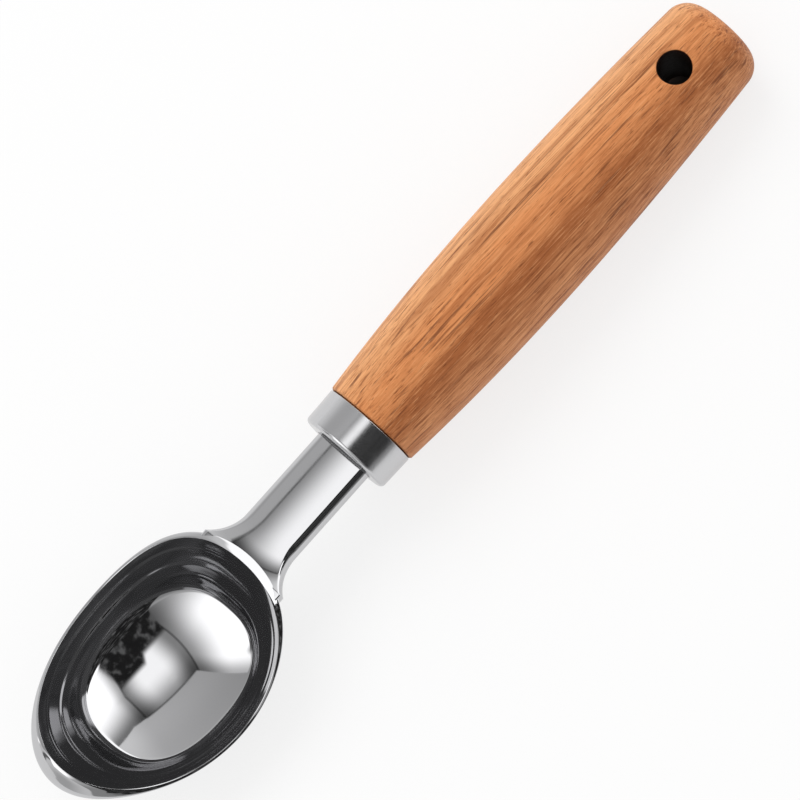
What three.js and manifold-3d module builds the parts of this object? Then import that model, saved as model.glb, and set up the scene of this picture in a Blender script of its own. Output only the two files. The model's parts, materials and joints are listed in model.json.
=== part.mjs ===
// Ice cream scoop: a polished metal bowl on a flared shank, a steel ferrule and a turned wooden handle.
//
// The pieces are modelled along the scoop's own axis: x runs from the handle's shoulder (x = 0) towards
// the bowl's tip, y runs across, and z points out of the bowl's mouth, with the handle's axis at z = 0.
// At the end the whole scoop is laid down on its back, so that the bowl and the butt touch z = 0.
import * as THREE from "three";
import { mergeVertices } from "three/addons/utils/BufferGeometryUtils.js";
import Module from "manifold-3d";

const wasm = await Module();
wasm.setup();

// Driving dimensions, in millimetres

const fit = 0.3; // gap between two pieces that touch

const handle = {
  length: 105.1, // shoulder to butt
  shoulderRadius: 10.4,
  shoulderChamfer: 0.3,
  bellyRadius: 12.45,
  bellyFromShoulder: 49,
  bellyPower: 2.2, // how quickly the swell leaves the shoulder
  tailRadius: 10.65,
  tailPower: 1.8, // how late the tail draws in
  buttRounding: 5,
};

const hangHole = {
  diameter: 7,
  fromButt: 13.9,
  chamfer: 0.4,
};

const ferrule = {
  length: 8.1,
  frontRadius: 10.05,
  rearRadius: 10.2,
  innerRadius: 9.35,
  plate: 1.0, // thickness of the front wall that the neck passes through
  edgeRounding: 1.0,
};

const tang = {
  radius: 2.75,
  length: 45,
  groovePitch: 5,
  grooveDepth: 0.5,
  grooveWidth: 2,
  endChamfer: 0.8,
};

const glue = {
  film: 0.4, // ring under the ferrule
  sleeve: 0.9, // wall around the tang
  plug: 2.5, // pool behind the tang's end
};

const neck = {
  halfWidth: 6.6,
  topHalfWidth: 4.75, // half the width of the crowned top face
  topHeight: 1.9, // height of the top face's two edges
  crown: 0.27, // rise of the top face between its edges
  waistHeight: -0.4, // height of the widest line
  waistRise: 1.4, // how far the widest line climbs along the flare
  belly: 5.0, // depth of the round underside below the widest line
  flareLength: 7.6, // from the shank's straight stretch to the bowl's inner edge
  flareRadius: 9.6, // plan radius of the flare at each side
  topFlareLength: 9.4, // the top face's edges leave the straight a little sooner
  topFlareRadius: 11.4, // plan radius of the top face's edges along the flare
  keelLength: 11, // stretch before the inner edge in which the underside deepens
  keelRadius: 19, // side-view radius of the deepening underside
  keelReach: 5, // how far the underside runs on below the bowl's rim
  topSweep: 1.0, // how far the top face sweeps up along the flare to meet the rim
};

const bowl = {
  length: 53.6, // inner edge at the tip to inner edge at the neck
  width: 39.4, // inner edge to inner edge, across
  fromShoulder: 37.2, // handle's shoulder to the inner edge at the neck
  rimTipHeight: 2.0, // rim height at the tip, the neck and the middle of each side
  rimNeckHeight: 3.9,
  rimNeckPower: 1.4, // one is a plain saddle, more keeps the rim high beside the neck
  rimSideHeight: -8.0,
  floorHeight: -20.5, // deepest point of the inside
  floorRadius: 38.6, // the dished floor is part of a ball
  floorLength: 36.4, // the floor's heel, where it turns up into the wall, along and across
  floorWidth: 28.2,
  floorFullness: 2.5, // 2 makes the heel an ellipse, more fills its corners
  floorSetback: 0.9, // how far the floor sits towards the neck
  heelBlend: 1.4, // how softly the floor turns up
  wallBulge: 0.3, // 0 makes the wall straight, more rounds it outwards
  neckFullness: 0.25, // how much fuller the outline is beside the neck
  wall: 1.6,
  sideLand: 0.6, // width of the rim at the sides, neck and tip
  neckLand: 1.9,
  tipLand: 3.6,
  neckBevelDrop: 0.4, // the neck's rim slopes down outwards by this much more than square to the wall
  tipBevelDrop: 2.4, // and the tip's rim by this much
};

// Facets

const roundSteps = 48; // around the handle and the ferrule
const slimSteps = 24; // around the tang, its glue and the hanging hole
const bowlSteps = 72; // around the bowl
const wallSteps = 11; // from the middle of the bowl's floor to its rim
const heelReach = 0.65; // share of them that crosses the floor
const profileSteps = 10; // along each swell of the handle
const arcSteps = 5; // along a rounding

// Places that follow from the dimensions

const ferruleFront = ferrule.length;
const spigotEnd = ferrule.length - ferrule.plate - fit;
const spigotRadius = ferrule.innerRadius - fit - glue.film - fit;
const shankEnd = spigotEnd + fit;
const tangRear = spigotEnd - tang.length;
const sleeveInner = tang.radius + fit;
const sleeveOuter = sleeveInner + glue.sleeve;
const boreRadius = sleeveOuter + fit;
const boreEnd = tangRear - fit - glue.plug - fit;
const buttX = -handle.length;
const bowlCentreX = bowl.fromShoulder + bowl.length / 2;
const floorX = bowlCentreX - bowl.floorSetback;
const flareStart = bowl.fromShoulder - neck.flareLength;
const topFlareStart = bowl.fromShoulder - neck.topFlareLength;
const keelStart = bowl.fromShoulder - neck.keelLength;

// Finishes

const polishedSteel = new THREE.MeshStandardMaterial({ color: 0xd6d7da, roughness: 0.08, metalness: 1 });
const satinSteel = new THREE.MeshStandardMaterial({ color: 0xc4c5c8, roughness: 0.25, metalness: 1 });
const plainSteel = new THREE.MeshStandardMaterial({ color: 0x9a9b9e, roughness: 0.45, metalness: 1 });
const oiledWood = new THREE.MeshStandardMaterial({ color: 0xc0804c, roughness: 0.55, metalness: 0 });
const curedGlue = new THREE.MeshStandardMaterial({ color: 0xd9cfa8, roughness: 0.4, metalness: 0 });

// Shared operations

const smooth = (t) => t * t * (3 - 2 * t);
const clamp = (value, low, high) => Math.min(high, Math.max(low, value));
const fractions = (steps) => Array.from({ length: steps + 1 }, (_, i) => i / steps);

// A closed mesh as a solid: only positions are kept, so that shared corners merge.
function toSolid(geometry) {
  const bare = geometry.clone();
  bare.deleteAttribute("normal");
  bare.deleteAttribute("uv");
  const merged = mergeVertices(bare, 1e-5);
  return new wasm.Manifold(
    new wasm.Mesh({
      numProp: 3,
      vertProperties: merged.attributes.position.array,
      triVerts: new Uint32Array(merged.index.array),
    }),
  );
}

function toGeometry(solid) {
  const { vertProperties, triVerts } = solid.getMesh();
  const geometry = new THREE.BufferGeometry();
  geometry.setAttribute("position", new THREE.BufferAttribute(vertProperties, 3));
  geometry.setIndex(new THREE.BufferAttribute(triVerts, 1));
  geometry.computeVertexNormals();
  return geometry;
}

function cut(geometry, ...tools) {
  return toGeometry(tools.reduce((solid, tool) => solid.subtract(toSolid(tool)), toSolid(geometry)));
}

// Turns a closed profile of [x, radius] pairs about the x axis. The profile runs from the butt's side to
// the bowl's side along the outside, and back along any bore.
function revolve(profile, steps) {
  const points = profile.map(([x, radius]) => new THREE.Vector2(radius, x));
  return new THREE.LatheGeometry(points, steps).rotateZ(-Math.PI / 2);
}

// Skins a row of rings, each with the same number of points running anticlockwise about the row's
// direction. A row's two ends are closed by a fan about a middle point.
function loft(rings, startPoint, endPoint) {
  const count = rings[0].length;
  const corners = [startPoint, ...rings.flat(), endPoint];
  const corner = (ring, j) => 1 + ring * count + (j % count);
  const last = rings.length - 1;
  const faces = [];
  for (let j = 0; j < count; j += 1) {
    faces.push(0, corner(0, j + 1), corner(0, j));
    for (let i = 0; i < last; i += 1) {
      faces.push(corner(i, j), corner(i, j + 1), corner(i + 1, j + 1));
      faces.push(corner(i, j), corner(i + 1, j + 1), corner(i + 1, j));
    }
    faces.push(corners.length - 1, corner(last, j), corner(last, j + 1));
  }
  const geometry = new THREE.BufferGeometry().setFromPoints(corners);
  geometry.setIndex(faces);
  geometry.computeVertexNormals();
  return geometry;
}

const middleOf = (ring) =>
  ring.reduce((sum, p) => sum.add(p), new THREE.Vector3()).divideScalar(ring.length);

// A quarter arc from one [x, radius] point to another, bulging towards the corner between them.
function quarterArc([x0, r0], [x1, r1], startsAlongX) {
  return fractions(arcSteps).map((t) => {
    const a = (t * Math.PI) / 2;
    return startsAlongX
      ? [x0 + (x1 - x0) * Math.sin(a), r0 + (r1 - r0) * (1 - Math.cos(a))]
      : [x0 + (x1 - x0) * (1 - Math.cos(a)), r0 + (r1 - r0) * Math.sin(a)];
  });
}

// Bowl

// The rim's inner edge seen from above: an ellipse that is a little fuller beside the neck. The angle is
// 0 at the tip and pi at the neck.
function outlineScale(angle) {
  const towardsNeck = (1 - Math.cos(angle)) / 2;
  return 1 + bowl.neckFullness * Math.sin(angle) ** 2 * towardsNeck ** 4;
}

// The rim is a saddle: its height is a parabola along the bowl from the low sides to each raised end.
function rimHeight(angle) {
  const along = outlineScale(angle) * Math.cos(angle);
  if (along > 0) return bowl.rimSideHeight + (bowl.rimTipHeight - bowl.rimSideHeight) * along ** 2;
  const climb = 1 - Math.max(1 - along ** 2, 0) ** bowl.rimNeckPower;
  return bowl.rimSideHeight + (bowl.rimNeckHeight - bowl.rimSideHeight) * climb;
}

// The larger of two values, rounded over where they are within the blend of each other.
function softMax(p, q, blend) {
  const t = clamp(0.5 + (p - q) / (2 * blend), 0, 1);
  return q + (p - q) * t + blend * t * (1 - t);
}

// The heel's ring and the rim's ring, from the middle of the floor.
function heelRing(angle) {
  const n = bowl.floorFullness;
  const scale = (Math.abs(Math.cos(angle)) ** n + Math.abs(Math.sin(angle)) ** n) ** (-1 / n);
  return new THREE.Vector2(
    (bowl.floorLength / 2) * scale * Math.cos(angle),
    (bowl.floorWidth / 2) * scale * Math.sin(angle),
  );
}

function rimRing(angle) {
  const scale = outlineScale(angle);
  return new THREE.Vector2(
    bowl.floorSetback + (bowl.length / 2) * scale * Math.cos(angle),
    (bowl.width / 2) * scale * Math.sin(angle),
  );
}

const floorAt = (plan) => bowl.floorHeight + plan.lengthSq() / (2 * bowl.floorRadius);

// How far a climb has come across the floor, which is 1 at the heel, and up the wall, which is 0 there.
const reachOf = (climb) => climb ** 0.8;
const floorShare = (climb) => reachOf(climb) / heelReach;
const wallShare = (climb) => (reachOf(climb) - heelReach) / (1 - heelReach);

// The inside, by angle around and by climb from 0 at the floor to 1 at the rim: a dished floor, and a
// rounded wall from its heel to the rim.
function insidePoint(angle, climb) {
  const up = wallShare(climb);
  const heel = heelRing(angle);
  const over = 1 - softMax(0, 1 - floorShare(climb), 0.15);
  const out = softMax(0, up + bowl.wallBulge * up * (1 - up), 0.4);
  const plan = rimRing(angle).sub(heel).multiplyScalar(out).addScaledVector(heel, over);
  const wall = floorAt(heel) + (rimHeight(angle) - floorAt(heel)) * up;
  return new THREE.Vector3(floorX + plan.x, plan.y, softMax(floorAt(plan), wall, bowl.heelBlend));
}

// The direction out of the cup, square to its inside.
function outwards(angle, climb) {
  const d = 1e-3;
  const around = insidePoint(angle + d, climb).sub(insidePoint(angle - d, climb));
  const up = insidePoint(angle, climb + d).sub(insidePoint(angle, climb - d));
  return around.cross(up).normalize();
}

const tipShare = (angle) => ((1 + Math.cos(angle)) / 2) ** 12;
const neckShare = (angle) => ((1 - Math.cos(angle)) / 2) ** 8;

function landWidth(angle) {
  return (
    bowl.sideLand +
    (bowl.tipLand - bowl.sideLand) * tipShare(angle) +
    (bowl.neckLand - bowl.sideLand) * neckShare(angle)
  );
}

// The outside follows the inside at the wall's thickness, and runs out to the rim's land at the top.
function outsidePoint(angle, climb, extra) {
  const nearRim = clamp(wallShare(climb), 0, 1) ** 2;
  const thickness = bowl.wall + (landWidth(angle) - bowl.wall) * nearRim + extra;
  const point = insidePoint(angle, climb).addScaledVector(outwards(angle, climb), thickness);
  point.z -= (bowl.tipBevelDrop * tipShare(angle) + bowl.neckBevelDrop * neckShare(angle)) * nearRim;
  return point;
}

const bowlAngles = fractions(bowlSteps).slice(0, bowlSteps).map((t) => t * 2 * Math.PI);
const climbs = fractions(wallSteps).slice(1);

function floorPoint(drop) {
  return new THREE.Vector3(floorX, 0, bowl.floorHeight - drop);
}

function bowlGeometry() {
  const outer = climbs.map((climb) => bowlAngles.map((a) => outsidePoint(a, climb, 0)));
  const inner = climbs.map((climb) => bowlAngles.map((a) => insidePoint(a, climb))).reverse();
  return loft([...outer, ...inner], floorPoint(bowl.wall), floorPoint(0));
}

// The bowl's outside grown by a gap and carried straight up past its mouth, to trim the shank's flare.
function bowlEnvelope(gap) {
  const rings = climbs.map((climb) => bowlAngles.map((a) => outsidePoint(a, climb, gap)));
  const lid = rings.at(-1).map((p) => p.clone().setZ(bowl.rimNeckHeight + neck.halfWidth));
  return loft([...rings, lid], floorPoint(bowl.wall + gap), middleOf(lid));
}

// Shank: the neck and its flare

// How far an arc of this radius has left its tangent after a run along it.
const arcRise = (radius, run) => radius - Math.sqrt(radius ** 2 - run ** 2);

// The neck's section at x, seen from the bowl: a crowned top that rounds over to the widest line at each
// side, and a round underside. It widens and deepens as it nears the bowl.
function neckSection(x, grow) {
  const flare = clamp(x - flareStart, 0, neck.flareLength);
  const topFlare = clamp(x - topFlareStart, 0, neck.topFlareLength);
  const keel = clamp(x - keelStart, 0, neck.keelLength + neck.keelReach);
  const run = smooth(flare / neck.flareLength);
  const half = neck.halfWidth + arcRise(neck.flareRadius, flare) + grow;
  const top = neck.topHalfWidth + arcRise(neck.topFlareRadius, topFlare);
  const sweep = neck.topSweep * (flare / neck.flareLength) ** 2;
  const topZ = neck.topHeight + sweep + grow;
  const waist = neck.waistHeight + neck.waistRise * run;
  const depth = neck.belly + arcRise(neck.keelRadius, keel) + grow;
  const crownAt = (y) => topZ + neck.crown * (1 - (y / top) ** 2);
  const crown = fractions(6).map((t) => top * (1 - 2 * t)).map((y) => [y, crownAt(y)]);
  const shoulder = fractions(5).slice(0, 5).map((t) => {
    const y = top + (half - top) * Math.cos((t * Math.PI) / 2);
    return [y, waist + (crownAt(y) - waist) * Math.sin((t * Math.PI) / 2)];
  });
  const otherShoulder = shoulder.map(([y, z]) => [-y, z]).reverse();
  const underside = fractions(16)
    .slice(1, 16)
    .map((t) => [-half * Math.cos(t * Math.PI), waist - depth * Math.sin(t * Math.PI)]);
  return [...shoulder, ...crown, ...otherShoulder, ...underside].map(([y, z]) => new THREE.Vector3(x, y, z));
}

function shankGeometry() {
  const flared = fractions(14).map((t) => keelStart + (neck.keelLength + neck.keelReach) * t);
  const rings = [shankEnd, ...flared].map((x) => neckSection(x, 0));
  const blank = loft(rings, middleOf(rings[0]), middleOf(rings.at(-1)));
  return cut(blank, bowlEnvelope(fit));
}

// Tang: a rod with rolled grooves that the glue grips

function tangGeometry() {
  const { radius, groovePitch, grooveDepth, grooveWidth, endChamfer } = tang;
  const front = spigotEnd;
  const profile = [
    [tangRear, 0],
    [tangRear, radius - endChamfer],
    [tangRear + endChamfer, radius],
  ];
  const first = tangRear + endChamfer + groovePitch / 2;
  for (let x = first; x + grooveWidth < front - groovePitch; x += groovePitch) {
    profile.push([x, radius]);
    profile.push([x + grooveWidth / 4, radius - grooveDepth]);
    profile.push([x + (grooveWidth * 3) / 4, radius - grooveDepth]);
    profile.push([x + grooveWidth, radius]);
  }
  profile.push([front, radius], [front, 0]);
  return revolve(profile, slimSteps);
}

// Glue: a blind sleeve around the tang, and a thin ring under the ferrule

function tangGlueGeometry() {
  const rear = boreEnd + fit;
  const pocket = tangRear - fit;
  const mouth = spigotEnd - fit;
  const profile = [
    [rear, 0],
    [rear, sleeveOuter],
    [mouth, sleeveOuter],
    [mouth, sleeveInner],
    [pocket, sleeveInner],
    [pocket, 0],
  ];
  return revolve(profile, slimSteps);
}

function ferruleGlueGeometry() {
  const inner = spigotRadius + fit;
  const outer = inner + glue.film;
  const rear = fit;
  const front = spigotEnd - fit;
  const profile = [
    [rear, inner],
    [rear, outer],
    [front, outer],
    [front, inner],
    [rear, inner],
  ];
  return revolve(profile, roundSteps);
}

// Ferrule: a drawn cap whose front wall has an opening in the shape of the neck

function ferruleGeometry() {
  const { frontRadius, rearRadius, innerRadius, plate, edgeRounding } = ferrule;
  const inside = ferruleFront - plate;
  const profile = [
    [fit, innerRadius],
    [fit, rearRadius],
    ...quarterArc([ferruleFront - edgeRounding, frontRadius], [ferruleFront, frontRadius - edgeRounding], true),
    [ferruleFront, 0],
    [inside, 0],
    [inside, innerRadius],
    [fit, innerRadius],
  ];
  const opening = [inside - plate, ferruleFront + plate].map((x) =>
    neckSection(shankEnd, fit).map((p) => p.setX(x)),
  );
  const punch = loft(opening, middleOf(opening[0]), middleOf(opening[1]));
  return cut(revolve(profile, roundSteps), punch);
}

// Handle: turned from the spigot to the butt, bored for the tang and drilled across for hanging

// The turned radius at a distance back from the shoulder.
function handleRadius(back) {
  const { bellyFromShoulder, length, buttRounding } = handle;
  if (back < bellyFromShoulder) {
    const left = 1 - back / bellyFromShoulder;
    return handle.bellyRadius - (handle.bellyRadius - handle.shoulderRadius) * left ** handle.bellyPower;
  }
  const past = (back - bellyFromShoulder) / (length - buttRounding - bellyFromShoulder);
  return handle.bellyRadius - (handle.bellyRadius - handle.tailRadius) * past ** handle.tailPower;
}

function handleGeometry() {
  const { bellyFromShoulder, length, shoulderRadius, shoulderChamfer, tailRadius, buttRounding } = handle;
  const tailEnd = length - buttRounding;
  const swell = fractions(profileSteps).map((t) => shoulderChamfer + (bellyFromShoulder - shoulderChamfer) * t);
  const taper = fractions(profileSteps).map((t) => bellyFromShoulder + (tailEnd - bellyFromShoulder) * t);
  const turned = [...swell, ...taper.slice(1, -1)].map((back) => [-back, handleRadius(back)]).reverse();
  const profile = [
    [buttX, 0],
    ...quarterArc([buttX, tailRadius - buttRounding], [-tailEnd, tailRadius], false),
    ...turned,
    [0, shoulderRadius - shoulderChamfer],
    [0, spigotRadius],
    [spigotEnd, spigotRadius],
    [spigotEnd, boreRadius],
    [boreEnd, boreRadius],
    [boreEnd, 0],
  ];
  return cut(revolve(profile, roundSteps), hangHoleTool());
}

// A drill with a countersink at each end that breaks the hole's edges where it leaves the round wood.
function hangHoleTool() {
  const radius = hangHole.diameter / 2;
  const across = handleRadius(handle.length - hangHole.fromButt);
  const edge = Math.sqrt(across ** 2 - radius ** 2);
  const past = handle.bellyRadius + radius;
  const flare = radius + (past - edge) + hangHole.chamfer;
  const deep = edge - hangHole.chamfer;
  const points = [
    [0, -past],
    [flare, -past],
    [radius, -deep],
    [radius, deep],
    [flare, past],
    [0, past],
  ].map(([r, y]) => new THREE.Vector2(r, y));
  const drill = new THREE.LatheGeometry(points, slimSteps);
  return drill.rotateX(Math.PI / 2).translate(buttX + hangHole.fromButt, 0, 0);
}

// Assembly

function piece(name, geometry, material) {
  const mesh = new THREE.Mesh(geometry, material);
  mesh.name = name;
  return mesh;
}

const bowlMesh = piece("bowl", bowlGeometry(), polishedSteel);
const handleMesh = piece("handle", handleGeometry(), oiledWood);
const lying = new THREE.Group();
lying.add(
  bowlMesh,
  piece("shank", shankGeometry(), polishedSteel),
  piece("tang", tangGeometry(), plainSteel),
  piece("tang_glue", tangGlueGeometry(), curedGlue),
  piece("ferrule", ferruleGeometry(), satinSteel),
  piece("ferrule_glue", ferruleGlueGeometry(), curedGlue),
  handleMesh,
);

// The lowest point of a mesh when the scoop's nose is lifted by an angle.
function lowestPoint(mesh, lift) {
  const { array } = mesh.geometry.attributes.position;
  let low = Infinity;
  for (let i = 0; i < array.length; i += 3) {
    low = Math.min(low, array[i] * Math.sin(lift) + array[i + 2] * Math.cos(lift));
  }
  return low;
}

// The lift at which the bowl's back and the butt touch the same table, found by halving.
function restingLift() {
  let [flat, steep] = [0, Math.PI / 4];
  for (let i = 0; i < 40; i += 1) {
    const middle = (flat + steep) / 2;
    if (lowestPoint(bowlMesh, middle) < lowestPoint(handleMesh, middle)) flat = middle;
    else steep = middle;
  }
  return (flat + steep) / 2;
}

lying.rotation.y = -restingLift();
const scoop = new THREE.Group();
scoop.add(lying);
const { min, max } = new THREE.Box3().setFromObject(scoop, true);
lying.position.set(-(min.x + max.x) / 2, 0, -min.z);

export default scoop;
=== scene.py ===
"""Ice cream scoop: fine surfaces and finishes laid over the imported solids."""

import json
import math

import bmesh
import bpy
import numpy as np
from bpy.props import FloatProperty, FloatVectorProperty, PointerProperty
from mathutils import Matrix, Vector


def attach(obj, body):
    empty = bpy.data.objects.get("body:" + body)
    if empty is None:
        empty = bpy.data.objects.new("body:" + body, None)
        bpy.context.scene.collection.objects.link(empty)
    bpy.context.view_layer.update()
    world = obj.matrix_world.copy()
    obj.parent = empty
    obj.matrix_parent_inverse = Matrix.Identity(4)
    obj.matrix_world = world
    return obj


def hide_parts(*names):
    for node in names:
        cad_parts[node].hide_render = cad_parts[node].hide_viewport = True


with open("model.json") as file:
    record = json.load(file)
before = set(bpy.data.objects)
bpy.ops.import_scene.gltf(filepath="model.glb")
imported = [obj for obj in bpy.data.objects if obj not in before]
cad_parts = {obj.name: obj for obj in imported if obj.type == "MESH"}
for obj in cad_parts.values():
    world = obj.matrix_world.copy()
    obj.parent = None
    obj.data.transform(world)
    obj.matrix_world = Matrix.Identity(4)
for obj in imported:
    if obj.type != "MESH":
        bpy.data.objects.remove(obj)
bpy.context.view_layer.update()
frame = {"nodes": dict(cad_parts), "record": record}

bl_info = {
    "name": "Ice cream scoop",
    "version": (1, 0, 0),
    "blender": (4, 5, 0),
    "location": "View3D > Sidebar > Scoop",
    "description": "Builds the fine surfaces, finishes and stage of an ice cream scoop",
    "category": "Object",
}

# The scoop's own axes: x from the handle's shoulder towards the bowl, y across, z out of the bowl's
# mouth. The butt's flat face gives their place and tilt in the frame.
BUTT_FACE = next(m for m in frame["record"]["mounts"] if m["name"] == "butt_face")
BUTT = np.array(BUTT_FACE["pos_m"])
FORWARD = -np.array(BUTT_FACE["axis"])
ACROSS = np.array((0.0, 1.0, 0.0))
AXES = np.stack([FORWARD, ACROSS, np.cross(FORWARD, ACROSS)])
MM = 0.001


# Sizes and colours


def size(name, description, default):
    """A length in metres that a user may change."""
    return FloatProperty(name=name, description=description, default=default, unit="LENGTH", precision=5)


def share(name, description, default):
    """A plain number that a user may change."""
    return FloatProperty(name=name, description=description, default=default, precision=3)


def angle(name, description, degrees):
    """An angle that a user may change."""
    return FloatProperty(name=name, description=description, default=math.radians(degrees), subtype="ANGLE")


def colour(name, description, default):
    """A linear colour that a user may change."""
    return FloatVectorProperty(
        name=name, description=description, default=default, subtype="COLOR", size=3, min=0.0, max=1.0
    )


class BowlSizes(bpy.types.PropertyGroup):
    """Sizes of the bowl, the same as the solid's."""

    length: size("Length", "Inner edge at the tip to inner edge at the neck", 53.6 * MM)
    width: size("Width", "Inner edge to inner edge, across", 39.4 * MM)
    from_shoulder: size("From shoulder", "Handle's shoulder to the inner edge at the neck", 37.2 * MM)
    rim_tip: size("Rim at tip", "Height of the rim at the tip above the handle's axis", 2.0 * MM)
    rim_neck: size("Rim at neck", "Height of the rim at the neck above the handle's axis", 3.9 * MM)
    rim_neck_power: share("Rim power at neck", "One is a plain saddle, more keeps the rim high", 1.4)
    rim_side: size("Rim at sides", "Height of the rim at the middle of each side", -8.0 * MM)
    floor: size("Floor", "Height of the deepest point of the inside", -20.5 * MM)
    floor_radius: size("Floor radius", "The dished floor is part of a ball", 38.6 * MM)
    floor_length: size("Floor length", "The floor's heel, where it turns up into the wall, along", 36.4 * MM)
    floor_width: size("Floor width", "The floor's heel across", 28.2 * MM)
    floor_fullness: share("Floor fullness", "Two makes the heel an ellipse, more fills its corners", 2.5)
    floor_setback: size("Floor setback", "How far the floor sits towards the neck", 0.9 * MM)
    heel_blend: size("Heel blend", "How softly the floor turns up into the wall", 1.4 * MM)
    wall_bulge: share("Wall bulge", "Zero makes the wall straight, more rounds it outwards", 0.3)
    neck_fullness: share("Neck fullness", "How much fuller the outline is beside the neck", 0.25)
    wall: size("Wall", "Thickness of the sheet", 1.6 * MM)
    side_land: size("Side land", "Width of the rim at the sides", 0.6 * MM)
    neck_land: size("Neck land", "Width of the rim at the neck", 1.9 * MM)
    tip_land: size("Tip land", "Width of the rim at the tip", 3.6 * MM)
    neck_drop: size("Neck drop", "How far the neck's rim slopes down outwards, past square", 0.4 * MM)
    tip_drop: size("Tip drop", "How far the tip's rim slopes down outwards", 2.4 * MM)
    rim_crown: share("Rim crown", "Rise of the rim's rounded top, as a share of its width", 0.12)
    press_step: size("Press step", "Depth of the soft steps that pressing leaves in the wall", 0.24 * MM)


class ShankSizes(bpy.types.PropertyGroup):
    """Sizes of the neck and its flare, the same as the solid's."""

    rear: size("Rear", "Place of the rear end, inside the ferrule", 7.1 * MM)
    half_width: size("Half width", "Half the width at the widest line", 6.6 * MM)
    top_half_width: size("Top half width", "Half the width of the crowned top face", 4.75 * MM)
    top_height: size("Top height", "Height of the top face's two edges", 1.9 * MM)
    crown: size("Crown", "Rise of the top face between its edges", 0.27 * MM)
    waist: size("Waist", "Height of the widest line", -0.4 * MM)
    waist_rise: size("Waist rise", "How far the widest line climbs along the flare", 1.4 * MM)
    belly: size("Belly", "Depth of the round underside below the widest line", 5.0 * MM)
    flare_length: size("Flare length", "Run of the flare before the bowl's inner edge", 7.6 * MM)
    flare_radius: size("Flare radius", "Plan radius of the flare at each side", 9.6 * MM)
    top_length: size("Top flare length", "Run before the bowl in which the top face's edges spread", 9.4 * MM)
    top_radius: size("Top radius", "Plan radius of the top face's edges along the flare", 11.4 * MM)
    keel_length: size("Keel length", "Run before the bowl in which the underside deepens", 11.0 * MM)
    keel_radius: size("Keel radius", "Side radius of the deepening underside", 19.0 * MM)
    keel_reach: size("Keel reach", "How far the underside runs on below the bowl's rim", 5.0 * MM)
    top_sweep: size("Top sweep", "How far the top face sweeps up along the flare", 1.0 * MM)


class FerruleSizes(bpy.types.PropertyGroup):
    """Sizes of the drawn cap, the same as the solid's."""

    rear: size("Rear", "Place of the rear edge", 0.3 * MM)
    front: size("Front", "Place of the front face", 8.1 * MM)
    front_radius: size("Front radius", "Outer radius at the front", 10.05 * MM)
    rear_radius: size("Rear radius", "Outer radius at the rear", 10.2 * MM)
    inner_radius: size("Inner radius", "Inner radius of the cap", 9.35 * MM)
    plate: size("Plate", "Thickness of the front wall", 1.0 * MM)
    edge_round: size("Edge rounding", "Radius of the front edge", 1.0 * MM)
    rear_round: size("Rear rounding", "Radius of the rear edge", 0.12 * MM)
    opening_gap: size("Opening gap", "Gap between the front wall and the neck", 0.3 * MM)
    opening_round: size("Opening rounding", "Radius of the opening's front edge", 0.06 * MM)


class HandleSizes(bpy.types.PropertyGroup):
    """Sizes of the turned handle, the same as the solid's."""

    length: size("Length", "Shoulder to butt", 105.1 * MM)
    shoulder_radius: size("Shoulder radius", "Radius at the shoulder", 10.4 * MM)
    shoulder_chamfer: size("Shoulder chamfer", "Chamfer of the shoulder's edge", 0.3 * MM)
    belly_radius: size("Belly radius", "Largest radius", 12.45 * MM)
    belly_place: size("Belly place", "Shoulder to the largest radius", 49.0 * MM)
    belly_power: share("Belly power", "How quickly the swell leaves the shoulder", 2.2)
    tail_radius: size("Tail radius", "Radius where the butt's rounding starts", 10.65 * MM)
    tail_power: share("Tail power", "How late the tail draws in", 1.8)
    butt_round: size("Butt rounding", "Radius of the butt's edge", 5.0 * MM)
    hole_diameter: size("Hole diameter", "Diameter of the hanging hole", 7.0 * MM)
    hole_place: size("Hole place", "Butt to the middle of the hanging hole", 13.9 * MM)
    hole_round: size("Hole rounding", "Radius of the hole's broken edges", 0.4 * MM)
    spigot_radius: size("Spigot radius", "Radius of the spigot under the ferrule", 8.35 * MM)
    spigot_length: size("Spigot length", "Length of the spigot", 6.8 * MM)
    bore_radius: size("Bore radius", "Radius of the tang's bore", 4.25 * MM)
    bore_depth: size("Bore depth", "Shoulder to the end of the tang's bore", 41.3 * MM)


class Finishes(bpy.types.PropertyGroup):
    """Colours of the steel, the wood and the glue."""

    polished_steel: colour("Polished steel", "Reflection of the mirror-polished head", (0.55, 0.55, 0.56))
    ferrule_steel: colour("Ferrule steel", "Reflection of the finely polished ferrule", (0.58, 0.58, 0.59))
    rolled_steel: colour("Rolled steel", "Reflection of the rod as it is rolled", (0.55, 0.55, 0.56))
    cured_glue: colour("Cured glue", "Body of the glue", (0.66, 0.58, 0.34))
    # Pale fibres, and painted light: the ground left pale on the side that the key lamp lights.
    pale_wood_and_lit_side: colour("Pale wood", "Early wood on the pale side", (0.88, 0.43, 0.185))
    warm_wood: colour("Warm wood", "Wood between the pale side and the brown band", (0.70, 0.265, 0.090))
    brown_wood: colour("Brown wood", "Late wood and the brown band", (0.35, 0.100, 0.024))
    # Painted sheen: the tan laid on the side away from the key lamp.
    painted_sheen_wood: colour("Tan wood", "Wood on the side away from the pale one", (0.58, 0.235, 0.090))
    # A tenth of it is also the painted shade inside the hanging hole.
    dark_wood: colour("Dark wood", "Thin streaks and open pores", (0.15, 0.036, 0.009))


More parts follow.
